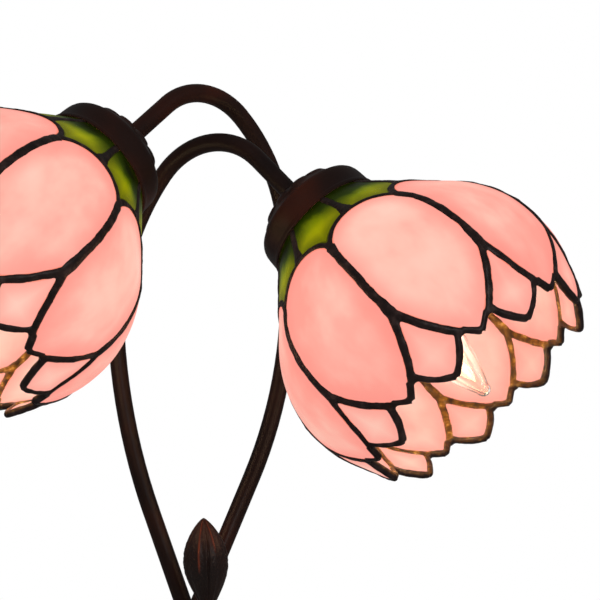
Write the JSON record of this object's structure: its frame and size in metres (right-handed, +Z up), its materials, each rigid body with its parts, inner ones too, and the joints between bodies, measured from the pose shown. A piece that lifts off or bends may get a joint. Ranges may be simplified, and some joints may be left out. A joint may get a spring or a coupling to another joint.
{
  "type": "two-light table lamp",
  "caption": "Table lamp with leaded-glass flower shades on crossing bent tubes that rise from a domed leaf foot, with a cast bud.",
  "frame": {"origin": "middle of the face that the foot stands on", "axes": "+Z up; the shades hang forward, towards -Y, one to each side along X"},
  "size_m": [0.4573, 0.2853, 0.507],
  "materials": {
    "bronze": "cast zinc and steel tube, dark patinated bronze finish, satin",
    "iron": "rough grey cast iron",
    "steel": "plain zinc-plated steel",
    "felt": "dark green wool felt",
    "rubber": "black moulded rubber",
    "plastic": "orange moulded nylon",
    "cable": "two cores in one clear-gold PVC sheath",
    "brass": "plain turned and stamped brass",
    "ceramic": "glazed white porcelain",
    "nickel": "nickel-plated brass, threaded",
    "filament": "glass stem with tungsten filament on two wires",
    "bulb_glass": "thin clear glass, lit warm",
    "pink_glass": "opalescent pink art glass with peach streaks, glossy",
    "green_glass": "opalescent yellow-green art glass, mottled, glossy",
    "solder": "rounded solder seams over copper foil, dark brown patina"
  },
  "bodies": {
    "root": {"foot": "bronze", "hub": "bronze", "weight": "iron", "bottom_cover": "steel", "felt": "felt", "base_screws": "steel", "cord_grommet": "rubber", "wire_connectors": "plastic", "bud": "bronze", "bud_stem": "bronze", "left_arm": "bronze", "left_lead_wire": "cable", "left_shade_cap": "bronze", "left_nipple": "brass", "left_lock_nuts": "brass", "left_shade_ring": "brass", "left_holder": "ceramic", "left_screw_shell": "brass", "left_centre_contact": "brass", "left_sepals": "green_glass", "left_small_petals": "pink_glass", "left_leading": "solder", "left_large_petal_1": "pink_glass", "left_large_petal_2": "pink_glass", "left_large_petal_3": "pink_glass", "left_large_petal_4": "pink_glass", "left_large_petal_5": "pink_glass", "left_large_petal_6": "pink_glass", "left_large_petal_7": "pink_glass", "left_large_petal_8": "pink_glass", "left_large_petal_9": "pink_glass", "right_arm": "bronze", "right_lead_wire": "cable", "right_shade_cap": "bronze", "right_nipple": "brass", "right_lock_nuts": "brass", "right_shade_ring": "brass", "right_holder": "ceramic", "right_screw_shell": "brass", "right_centre_contact": "brass", "right_sepals": "green_glass", "right_small_petals": "pink_glass", "right_leading": "solder", "right_large_petal_1": "pink_glass", "right_large_petal_2": "pink_glass", "right_large_petal_3": "pink_glass", "right_large_petal_4": "pink_glass", "right_large_petal_5": "pink_glass", "right_large_petal_6": "pink_glass", "right_large_petal_7": "pink_glass", "right_large_petal_8": "pink_glass", "right_large_petal_9": "pink_glass"},
    "left_lamp": {"left_bulb": "bulb_glass", "left_bulb_cap": "nickel", "left_filament": "filament"},
    "right_lamp": {"right_bulb": "bulb_glass", "right_bulb_cap": "nickel", "right_filament": "filament"}
  },
  "joints": [
    {"name": "left_bulb_turn", "type": "hinge", "parent": "root", "child": "left_lamp", "pos_m": [-0.08592, -0.06565, 0.41275], "axis": [-0.6095, -0.4189, -0.673], "range_deg": [0, 1080]},
    {"name": "right_bulb_turn", "type": "hinge", "parent": "root", "child": "right_lamp", "pos_m": [0.11011, -0.06088, 0.37313], "axis": [0.5997, -0.3675, -0.7108], "range_deg": [0, 1080]}
  ]
}
